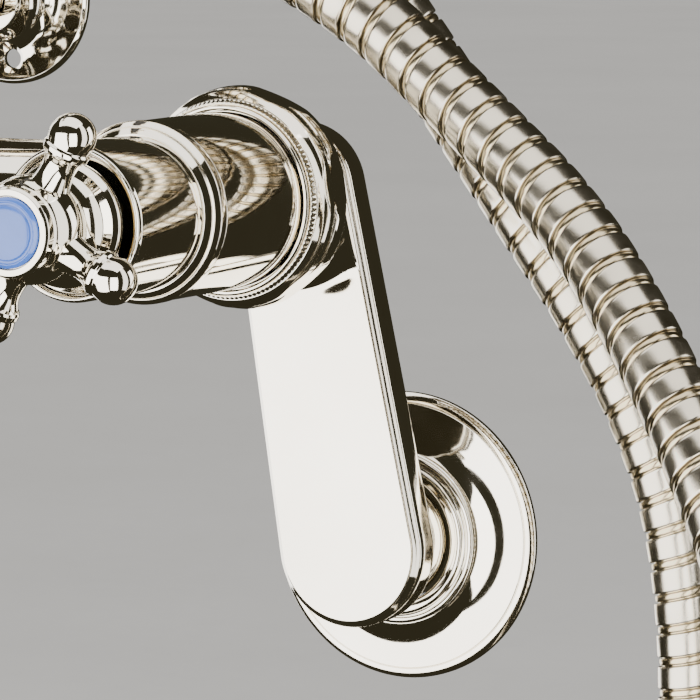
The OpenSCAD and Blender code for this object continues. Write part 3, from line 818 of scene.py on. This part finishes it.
NUT = [
    (16.6, 47.0, 0.2), (22.2, 47.0, 0.4), (23.5, 47.8, 0.5), (24.3, 49.2, 0.5),
    *eased([(24.45, 49.8), (24.6, 51.3), (24.45, 52.8)], 4), (24.3, 53.4, 0.3), (24.0, 53.7, 0.1),
    (23.85, 54.0, 0.1), (24.0, 54.3, 0.1), (24.0, 56.1, 0.4),
    *eased([(23.6, 56.75), (23.0, 57.4), (22.4, 58.15)], 4), (22.1, 58.6, 0.1), (21.9, 58.65, 0.05),
    (21.85, 58.95, 0.05), (21.35, 60.25, 0.1), (21.2, 60.3, 0.1), (21.1, 59.7, 0.1),
    (20.95, 59.7, 0.1), (20.9, 61.0, 0.25), (20.5, 61.4, 0.3), (20.05, 61.4, 0.2),
    (19.8, 61.0, 0.15), (19.8, 59, 0.1), (14.3, 59, 0.1), (14.3, 55.7, 0.1), (16.6, 55.7, 0.1),
]
BONNET = [
    (10.4, 95.55), (19.4, 95.55, 0.1), (19.7, 95.9, 0.2), (19.72, 98.15, 0.45),
    (18.62, 99.35, 0.12), (18.45, 99.2, 0.05), (18.28, 99.3, 0.05), (18.2, 99.72, 0.12),
    (17.35, 100.55, 0.2), (17.0, 100.9, 0.2), (10.4, 100.9),
]
SLEEVE = [
    (14.9, 101.05, 0.1), (16.6, 101.05, 0.2), (16.8, 101.4, 0.2), (16.8, 127.7, 0.8),
    (16.45, 128.75, 0.5), (15.8, 129, 0.4), (15.05, 128.4, 0.3), (14.9, 127.4, 0.2),
    (5.5, 127.3, 0.1), (5.5, 125.9, 0.1), (14.9, 125.8, 0.1),
]


BARREL_SIDES = 256
BRIDGE_R = 13.0
BRIDGE_RING_X = 22.0
HUB_R = 19
CROSS_TURN = 63


def barrel():
    return [
        (0, 53.1), (9, 53.1, 0.1), (16.1, 53.1, 0.3), (16.1, 55.3, 0.3), (13.9, 55.4, 0.2),
        (13.9, 59.2, 0.2), (19.1, 59.2, 0.4), (19.5, 59.8, 0.3), (19.5, 95.3, 0.25),
        (19.3, 95.5, 0.1), (0, 95.5),
    ]


def make_body():
    shapes = [placed(lathe(barrel(), BARREL_SIDES), port(side)) for side in (1, -1)]
    tube = sweep([(-PORT_X, RISER_Y, PORT_Z), (PORT_X, RISER_Y, PORT_Z)], BRIDGE_R, 192)
    shapes.append(tube)
    for side in (1, -1):
        ring = lathe([(12, 0), (13.0, 0, 0.2), (14.2, 1.0, 0.6), (14.2, 3.4, 0.6), (13.0, 4.4, 0.2),
                      (12, 4.4)], 192)
        place = basis((side * BRIDGE_RING_X, RISER_Y, PORT_Z), (0, 1, 0), (0, 0, 1), (side, 0, 0))
        shapes.append(placed(ring, place))
    turns = np.radians(np.arange(-60, 46, 3.0))
    ball = [(HUB_R * math.cos(a), HUB_R * math.sin(a), 0) for a in turns]
    hub = [
        (0, -27.3), (5.5, -27.0, 3), (9.6, -25.2, 1.5), (11, -23.6, 0.6), (11, -21.4, 0.5),
        (9.1, -20.0, 0.8), (9.6, -17.2, 1.5), *ball,
        (13.3, 14.6, 0.6), (13.3, 17.4, 0.6), (16.2, 18.4, 0.5), (16.4, 19.4, 0.4),
        (16.4, 21.2, 0.4), (15.4, 22.2, 0.4), (9.5, 22.3), (0, 22.3),
    ]
    shapes.append(placed(lathe(hub, 192), on_riser(PORT_Z)))
    joined_piece("mixing_body", shapes, "faucet_body")


def cross_arm(turn):
    """One spoke of a cross handle, from the hub's axis outward."""
    spoke = [
        (0, 0), (5.4, 0, 0), *eased([(5.4, 6), (4.8, 9), (4.0, 11.6), (3.65, 14), (3.85, 15.9),
                                     (4.4, 17.3)], 6),
        (4.9, 17.8, 0.2), (5.15, 18.4, 0.3), (5.15, 19.3, 0.3), (4.75, 19.8, 0.2),
        *arc(0, 21.85, 5.1, -12, 90, 12),
    ]
    verts, faces = lathe(spoke, 72)
    a = math.radians(turn)
    out = np.array((math.cos(a), math.sin(a), 0))
    side = np.array((-math.sin(a), math.cos(a), 0))
    return np.array((0, 0, CROSS_OUT)) + verts @ np.array([side, (0, 0, 1), out]), faces


def make_handle(side, name):
    place = port(side)
    body = "handle_" + name
    hub = [
        (0, 129.7), (13.3, 129.7, 0.3), (13.5, 130.4, 0.3), (13.5, 131.6, 0.7), (12.4, 132.7, 0.4),
        (10.7, 133.5, 0.8), *eased([(9.7, 135.2), (9.0, 137.6), (9.3, 140.8), (10.6, 143.0)], 5),
        *arc(3.6, 145.2, 8.0, -12, 40, 8), (9.5, 151.0, 0.5), (9.1, 151.6, 0.2), (9.6, 152.3, 0.3),
        (9.6, 154.3, 0.5), (9.0, 155, 0.3), (7.7, 155, 0.2), (7.6, 154, 0.1), (0, 154),
    ]
    shapes = [placed(lathe(hub, 168), place)]
    shapes += [placed(cross_arm(CROSS_TURN + 90 * k), place) for k in range(4)]
    joined_piece("cross_handle_" + name, shapes, body)
    turns = np.radians(np.arange(20, 90, 8))
    dome = [(5.4 * math.cos(a), 155.75 + 0.6 * math.sin(a), 0) for a in turns]
    button = [(0, 153.0), (7.45, 153, 0.1), (7.45, 155.1, 0.4), (6.6, 155.65, 0.3),
              (6.3, 155.45, 0.1), (5.9, 155.45, 0.1), (5.6, 155.8, 0.3), *dome,
              (0, 156.36)]
    colour = "cold_button" if side > 0 else "hot_button"
    turned_piece("index_button_" + name, button, place, body, colour, seg=96)
    turned_piece("coupling_nut_" + name, NUT, place, "nut_" + name, seg=960, shape=nut_shape(),
                 sharp=40)
    turned_piece("bonnet_ring_" + name, BONNET, place, "faucet_body", seg=256)
    turned_piece("handle_sleeve_" + name, SLEEVE, place, "faucet_body", seg=256)


# ---- riser, elbow and cradle ----------------------------------------------------------------

def make_riser():
    nut = [
        (9.7, 102.1, 0.1), (15.4, 102.1, 0.3), (17.4, 103.5, 0.4), (17.4, 110.4, 0.4),
        (14.4, 112.9, 0.4), (9.7, 112.9, 0.2),
    ]
    turned_piece("riser_nut", nut, at_riser, "faucet_body", seg=480, shape=flats(30.0, 6), sharp=40)
    pipe = [(7, 93.6), (9.5, 93.6), (9.5, 129.9), (7, 129.9)]
    turned_piece("riser_pipe", pipe, at_riser, "faucet_body")

    bend = 11.0
    corner = np.array((0, RISER_Y, ELBOW_Z))
    up, out = np.array((0.0, 0.0, 1.0)), OUTLET_DIR
    centre = corner - up * bend + out * bend
    path = [corner - up * 15.5, corner - up * 13.2]
    turns = np.radians(np.linspace(0, 90, 25))
    path += [centre - out * bend * math.cos(a) + up * bend * math.sin(a) for a in turns]
    path += [corner + out * 13.2, corner + out * 17]
    elbow = sweep(path, 11.3, 160)
    collar = [(0, -17), (12.0, -17, 0.3), (12.6, -16.3, 0.3), (12.6, -9.4, 0.5), (11.4, -8.4, 0.3),
              (0, -8.4)]
    boss = [(0, 0), (8.9, 0), (8.9, 8.2, 2), (8.0, 12.6, 1), (8.0, 16.8, 0.4), (7.2, 18.9, 0.5),
            (0, 18.9)]
    mouth = [(0, 11.0), (12.0, 11, 0.4), (12.4, 11.6, 0.3), (12.4, 15.4, 0.4), (11.6, 16.2, 0.3),
             (10.3, 16.4, 0.1), (10.3, OUTLET_LEN - 16.2, 0.1), (0, OUTLET_LEN - 16.2)]
    shapes = [
        elbow,
        placed(lathe(collar, 160), on_riser(ELBOW_Z)),
        placed(lathe(boss, 144), on_riser(ELBOW_Z)),
        placed(lathe(mouth, 160), at_outlet),
    ]
    joined_piece("hose_elbow", shapes, "faucet_body")

    post = [(0, 151.2), (4.5, 151.2, 0.1), (4.5, 219.0, 0.1), *arc(0, 244, 4.5, 0, 90, 12)]
    turned_piece("cradle_post", post, at_riser, "faucet_body", seg=96)


JAW_UP = 102.0
JAW_R = 16.35
JAW_TIP_R = 16.6
JAW_OPENING = (50, 310)
BRACKET_HOLES_R = 14.2
BRACKET_HOLES = (30, 150, 270)


def make_clip():
    collar = [(4.3, 222.1, 0.2), (6.9, 222.1, 0.4), (7.4, 222.7, 0.4), (7.4, 227.4, 0.3),
              (7.0, 227.8, 0.2), (7.0, 230.2, 0.2), (7.4, 230.6, 0.3), (7.4, 235.3, 0.4),
              (6.9, 235.9, 0.4), (4.3, 235.9, 0.2)]
    start = np.array((-3.0, RISER_Y + 5.5, 228.0))
    end = at_spray(np.array([[-17.0, 0, JAW_UP]]))[0]
    share = np.linspace(0, 1, 13)
    link = sweep(start + (end - start) * share[:, None], 3.9 - 0.7 * np.sin(share * math.pi), 72,
                 (1, 0, 0))
    ring = []
    for a in np.radians(np.linspace(*JAW_OPENING, 66)):
        ring.append((JAW_R * math.cos(a), JAW_R * math.sin(a), JAW_UP))
    jaw = placed(strap(ring, 11.6, 3.0, 1.2, 6, (0, 0, 1)), at_spray)
    tips = []
    for a in JAW_OPENING:
        a = math.radians(a)
        tip = lathe([(0, 96.3), (2.3, 96.3, 0.6), (2.3, 107.7, 0.6), (0, 107.7)], 48)
        offset = (JAW_TIP_R * math.cos(a), JAW_TIP_R * math.sin(a), 0)
        tips.append(placed(shifted(tip, offset), at_spray))
    shapes = [placed(lathe(collar, 120), at_riser), link, jaw, *tips]
    joined_piece("cradle_clip", shapes, "faucet_body")


def make_bracket():
    ring = [(9.55, -5.9, 0.2), (12.6, -5.9, 0.5), (13.15, -5.2, 0.4), (13.15, 5.2, 0.4),
            (12.6, 5.9, 0.5), (9.55, 5.9, 0.2)]
    boss = [(0, 10.6), (5.8, 10.6), (5.8, 19.6, 0.2), (5.5, 20.0, 0.3), (5.5, 20.6, 0.3),
            (5.8, 21.0, 0.2), (5.7, 22, 0.3), (0, 22)]
    seat = [(0, 10.6), (4.4, 10.6), (4.4, 15.4, 0.3), (0, 15.4)]
    to_wall = basis((0, RISER_Y, BRACKET_Z), (1, 0, 0), (0, 0, -1), (0, 1, 0))
    to_side = basis((0, RISER_Y, BRACKET_Z), (0, 1, 0), (0, 0, 1), (1, 0, 0))
    shapes = [
        placed(lathe(ring, 144), on_riser(BRACKET_Z)),
        placed(lathe(boss, 96), to_wall), placed(lathe(seat, 96), to_side),
    ]
    joined_piece("bracket_clamp", shapes, "faucet_body")
    out = out_of_wall(0, BRACKET_Z)
    turned_piece("bracket_rod", [(0, 3.1), (4, 3.1, 0.2), (4, 61.9, 0.2), (0, 61.9)], out,
                 "faucet_body", seg=96)
    plate = [
        (0, 0), (19.6, 0, 0.1), (20, 0.3, 0.2), (20, 1.6, 0.5), (19.2, 2.2, 0.3),
        *eased([(18.2, 2.35), (15, 2.9), (12, 3.9),
        (10, 5.4), (8.9, 7.6), (8.3, 10)], 6), (8.2, 11.9, 0.3), (7.6, 12.5, 0.3), (4.6, 12.5, 0.3),
        (4.2, 12.1, 0.1), (4.2, 4, 0.1), (0, 4),
    ]
    holes = []
    for turn in BRACKET_HOLES:
        a = math.radians(turn)
        hole = lathe([(0, -1), (2.2, -1), (2.2, 1.2, 0.1), (4.0, 3.3, 0.1), (4.0, 9, 0.1), (0, 9)],
                     72)
        offset = (BRACKET_HOLES_R * math.cos(a), BRACKET_HOLES_R * math.sin(a), 0)
        holes.append(placed(shifted(hole, offset), out))
    joined_piece("bracket_flange", [placed(lathe(plate, 192), out)], "faucet_body", cut=holes)


# ---- spray ----------------------------------------------------------------------------------

NECK_R = 11.8
NECK_BEND = 18.0
EAR_Y = 8.2
RIBS, RIB_START, RIB_PITCH = 12, 29.0, 5.2


def make_spray():
    stem = [
        (0, 16.1), (11.8, 16.1, 0.3), (12.2, 16.6, 0.3), (12.2, 21.4, 0.6), (11.2, 22.6, 0.5),
        (11, 23.4, 0.5), (11, 111.9), (12.1, 112.6, 0.4), (12.4, 113.4, 0.4), (12.4, 115.6, 0.5),
        (11.8, 117.2, 0.6), (11.8, 142), (0, 142),
    ]
    bend = NECK_BEND
    length = bend * math.tan(HEAD_TILT / 2)
    up, out = np.array((0.0, 0.0, 1.0)), np.array((math.sin(HEAD_TILT), 0.0, math.cos(HEAD_TILT)))
    corner = np.array((0, 0, HEAD_UP))
    centre = corner - up * length + np.array((bend, 0, 0))
    path = [corner - up * (length + 9), corner - up * (length + 3)]
    turns = np.linspace(0, HEAD_TILT, 28)
    path += [centre + bend * np.array((-math.cos(a), 0, math.sin(a))) for a in turns]
    path += [corner + out * (length + 1.5), corner + out * (length + 3)]
    neck = sweep(path, NECK_R, 144, (0, 1, 0))
    head = [
        (0, 12.4), (11.7, 12.4), (11.8, 15.5, 1), (12.9, 16.2, 0.4), (13.3, 17.0, 0.4),
        (13.3, 19.0, 0.5), (12.7, 19.8, 0.3),
        *eased([(12.9, 21), (13.5, 24.4), (14.9, 28.6), (16.2, 31.4)], 6), (16.9, 32.0, 0.5),
        (16.95, 39.8, 0.2), (14.7, 39.9, 0.1), (14.5, 38.6, 0.1), (0, 38.6),
    ]
    bore = lathe([(0, 0), (8.9, 0), (8.9, 14.4, 0.5), (8.4, 14.9, 0.3), (0, 14.9)], 96)
    shapes = [placed(lathe(stem, 160), at_spray), placed(neck, at_spray),
              placed(lathe(head, 160), at_head), placed(bore, across_spray(CHAMBER_UP))]
    for side in (-1, 1):
        y = side * EAR_Y
        ear = strap([(6, y, 138), (14, y, 138), (19, y, 138), (22.6, y, 138)], 3.3, 7.1, 0.5, 3)
        knuckle = lathe([(0, -1.68), (3.3, -1.68, 0.2), (3.55, -1.4, 0.2), (3.55, 1.4, 0.2),
                         (3.3, 1.68, 0.2), (0, 1.68)], 72)
        shapes += [placed(ear, at_spray), placed(about_pivot(knuckle, y), at_spray)]
    joined_piece("spray_body", shapes, "faucet_body")

    ribs = [(11.1, 26.1, 0.1), (12.9, 26.1, 0.6), (13.9, 27.4, 0.6)]
    for i in range(RIBS):
        up = RIB_START + i * RIB_PITCH
        ribs += [(13.75, up, 0.5), (14.45, up + 0.75, 0.5), (14.45, up + 3.55, 0.5),
                 (13.75, up + 4.3, 0.5)]
    ribs += [(14.0, 92.4, 0.4), (14.45, 93.2, 0.5), (14.45, 110.0, 0.6), (13.2, 111.9, 0.6),
             (11.1, 111.9, 0.1)]
    turned_piece("spray_grip", ribs, at_spray, "faucet_body", "rubber", seg=160, sharp=40)

    middle = curve([(24.6, 0, 136), (25.15, 0, 127), (25.3, 0, 117.5), (27.0, 0, 107),
                    (29.1, 0, 96), (30.9, 0, 81), (32, 0, 66), (32.8, 0, 54), (33.7, 0, 43.5),
                    (35.2, 0, 38.6), (37.0, 0, 35.6)], 8)
    lever = strap(middle, 11.8, 2.1, 0.85, 6)
    hub = lathe([(0, -6), (3.0, -6, 0.2), (3.3, -5.7, 0.2), (3.3, 5.7, 0.2), (3.0, 6, 0.2), (0, 6)],
                96)
    joined_piece("squeeze_lever", [placed(lever, at_spray), placed(about_pivot(hub), at_spray)],
                 "lever")

    nut = [(3.1, 15.05, 0.1), (7.0, 15.05, 0.2), (7.6, 15.5, 0.2), (7.6, 18.5, 0.2), (6.8, 19, 0.2),
           (5.2, 19.1, 0.2), (5.2, 19.9, 0.3), (4.7, 20.35, 0.2), (3.1, 20.35, 0.1)]
    turned_piece("plunger_nut", nut, across_spray(CHAMBER_UP), "faucet_body", seg=240,
                 shape=flats(12.8, 6), sharp=40)
    bumper = [(17.0, 32.1, 0.1), (18.0, 32.1, 0.3), (18.2, 32.6, 0.3), (18.2, 34.6, 0.3),
              (17.85, 35.0, 0.2), (17.85, 35.8, 0.2), (18.2, 36.2, 0.3), (18.9, 40.2, 1.2),
              *arc(17.3, 43.7, 2.1, -8, 90, 8), (14.7, 45.8, 0.4), (14.6, 40.2, 0.1),
              (17.0, 40.1, 0.1)]
    turned_piece("spray_bumper", bumper, at_head, "faucet_body", "rubber", seg=160)


for side, name in ((1, "right"), (-1, "left")):
    make_arm(side, name)
    make_handle(side, name)
make_body()
make_riser()
make_clip()
make_bracket()
make_spray()

for row in frame["record"]["subparts"]:
    node = frame["nodes"][row["node"]]
    node.data.materials.clear()
    node.data.materials.append(MATERIALS[row["material_slot"]])


# ---- floor and light ------------------------------------------------------------------------

FLOOR_HALF, FLOOR_LOW = 60.0, -0.55
LIGHT_COLOUR = (1.0, 0.98, 0.95)
PALE, PALE_STRENGTH = (0.93, 0.92, 0.90, 1), 0.75
REFLECTED, REFLECTED_STRENGTH = (0.040, 0.036, 0.022, 1), 1.0
# Name, place, the point it faces, width and height, all in metres, and power in watts.
LIGHTS = (
    ("key", (-0.82, -1.499, -0.30), (-0.454, 0.059, -0.05), (2.08, 2.1), 79),
    ("front", (0.912, -1.425, -0.22), (0.095, -0.05, -0.02), (1.0, 1.8), 36),
    ("right_wall", (1.25, -0.17, 0.50), (0.0, -0.10, 0.50), (0.52, 2.5), 11),
    ("top", (0.0, -0.30, 1.25), (0.0, -0.05, 0), (2.0, 1.1), 20),
    ("back_right", (1.45, 0.90, 0.20), (0.05, -0.02, 0.05), (0.72, 1.7), 16),
    ("back_left", (-1.35, 1.0, 0.20), (0.0, -0.02, 0.05), (0.95, 1.7), 20),
)


def make_floor():
    m = Nodes("floor")
    m.wire("Base Color", m.ramp(m.noise(3, 8),
                                [(0.3, (0.80, 0.79, 0.77)), (0.7, (0.84, 0.83, 0.81))]))
    m.wire("Roughness", m.span(m.noise(40, 4), 0.7, 0.85))
    m.fix(Specular_IOR_Level=0.2)
    mesh = bpy.data.meshes.new("floor")
    corners = [
        (x * FLOOR_HALF, y * FLOOR_HALF, FLOOR_LOW) for x, y in ((-1, -1), (1, -1), (1, 1), (-1, 1))
    ]
    mesh.from_pydata(corners, [], [(0, 1, 2, 3)])
    mesh.materials.append(m.material)
    floor = new_object("floor", mesh)
    floor.visible_glossy = False


def area(name, place, aim, size, power):
    data = bpy.data.lights.new(name, "AREA")
    data.shape = "RECTANGLE"
    data.size, data.size_y = size
    data.energy = power
    data.color = LIGHT_COLOUR
    obj = new_object(name, data)
    obj.location = place
    obj.rotation_euler = (Vector(aim) - Vector(place)).to_track_quat("-Z", "Y").to_euler()
    obj.visible_camera = False


def make_world():
    """A pale room, which glossy surfaces see as dark between the lights."""
    world = bpy.data.worlds.new("studio")
    bpy.context.scene.world = world
    world.use_nodes = True
    tree = world.node_tree
    tree.nodes.clear()
    out = tree.nodes.new("ShaderNodeOutputWorld")
    mix = tree.nodes.new("ShaderNodeMixShader")
    path = tree.nodes.new("ShaderNodeLightPath")
    pale = tree.nodes.new("ShaderNodeBackground")
    dark = tree.nodes.new("ShaderNodeBackground")
    pale.inputs["Color"].default_value = PALE
    pale.inputs["Strength"].default_value = PALE_STRENGTH
    dark.inputs["Color"].default_value = REFLECTED
    dark.inputs["Strength"].default_value = REFLECTED_STRENGTH
    tree.links.new(path.outputs["Is Glossy Ray"], mix.inputs["Fac"])
    tree.links.new(pale.outputs[0], mix.inputs[1])
    tree.links.new(dark.outputs[0], mix.inputs[2])
    tree.links.new(mix.outputs[0], out.inputs["Surface"])


make_floor()
make_world()
for light in LIGHTS:
    area(*light)
